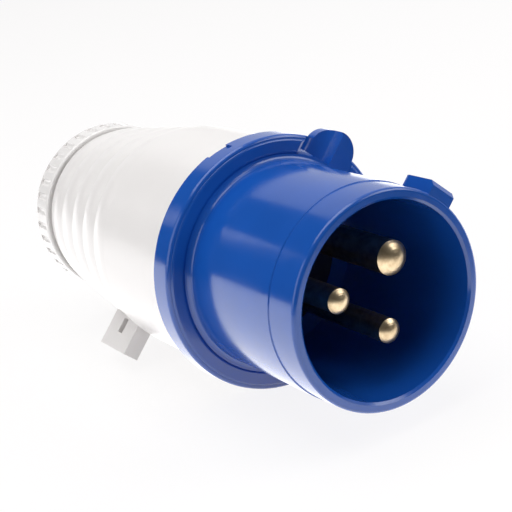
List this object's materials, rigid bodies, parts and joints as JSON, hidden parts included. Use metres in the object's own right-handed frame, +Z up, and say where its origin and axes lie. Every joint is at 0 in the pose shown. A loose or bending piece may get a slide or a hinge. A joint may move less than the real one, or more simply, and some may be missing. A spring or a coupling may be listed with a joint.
{
  "type": "industrial pin and sleeve plug",
  "caption": "Industrial pin and sleeve plug: a blue keyed shroud round metal pins, a flange with a lid lug, and a white grip handle with a cord gland nut.",
  "frame": {"origin": "centre of the shroud's mouth, on the plug's axis", "axes": "+X along the axis out of the mouth, the way the pins point; +Z up as the plug lies on its side, rolled 44 degrees from key-up"},
  "size_m": [0.118, 0.0548, 0.0548],
  "materials": {
    "blue_plastic": "glossy moulded polyamide, royal blue",
    "white_plastic": "glossy moulded polyamide, near white",
    "nut_plastic": "glossy moulded polyamide, near white",
    "carrier_plastic": "satin moulded polyamide, blue-black",
    "retainer_plastic": "satin moulded polyamide, pale grey",
    "nickel_brass": "turned brass with a thin nickel plating",
    "zinc_steel": "bright zinc-plated steel",
    "seal_rubber": "matt black rubber"
  },
  "bodies": {
    "plug": {"front_shell": "blue_plastic", "contact_carrier": "carrier_plastic", "pin_retainer": "retainer_plastic", "earth_pin": "nickel_brass", "line_pin": "nickel_brass", "neutral_pin": "nickel_brass", "earth_terminal_screw": "zinc_steel", "line_terminal_screw": "zinc_steel", "neutral_terminal_screw": "zinc_steel", "carrier_screw_left": "zinc_steel", "carrier_screw_right": "zinc_steel", "cord_saddle": "zinc_steel", "cord_screw_left": "zinc_steel", "cord_screw_right": "zinc_steel", "cord_nut_left": "zinc_steel", "cord_nut_right": "zinc_steel", "handle_seal": "seal_rubber", "handle": "white_plastic", "gland_seal": "seal_rubber"},
    "gland_slide": {"thrust_washer": "zinc_steel"},
    "gland_nut": {"gland_nut": "nut_plastic"}
  },
  "joints": [
    {"name": "gland_travel", "type": "slide", "parent": "plug", "child": "gland_slide", "axis": [-1, 0, 0], "range_m": [0, 0.005]},
    {"name": "gland_turn", "type": "hinge", "parent": "gland_slide", "child": "gland_nut", "pos_m": [-0.114, 0, 0], "axis": [-1, 0, 0], "range_deg": [0, 901]}
  ],
  "couplings": [
    {"joint": "gland_turn", "follows": "gland_travel", "rad_per_m": 3141.6}
  ]
}
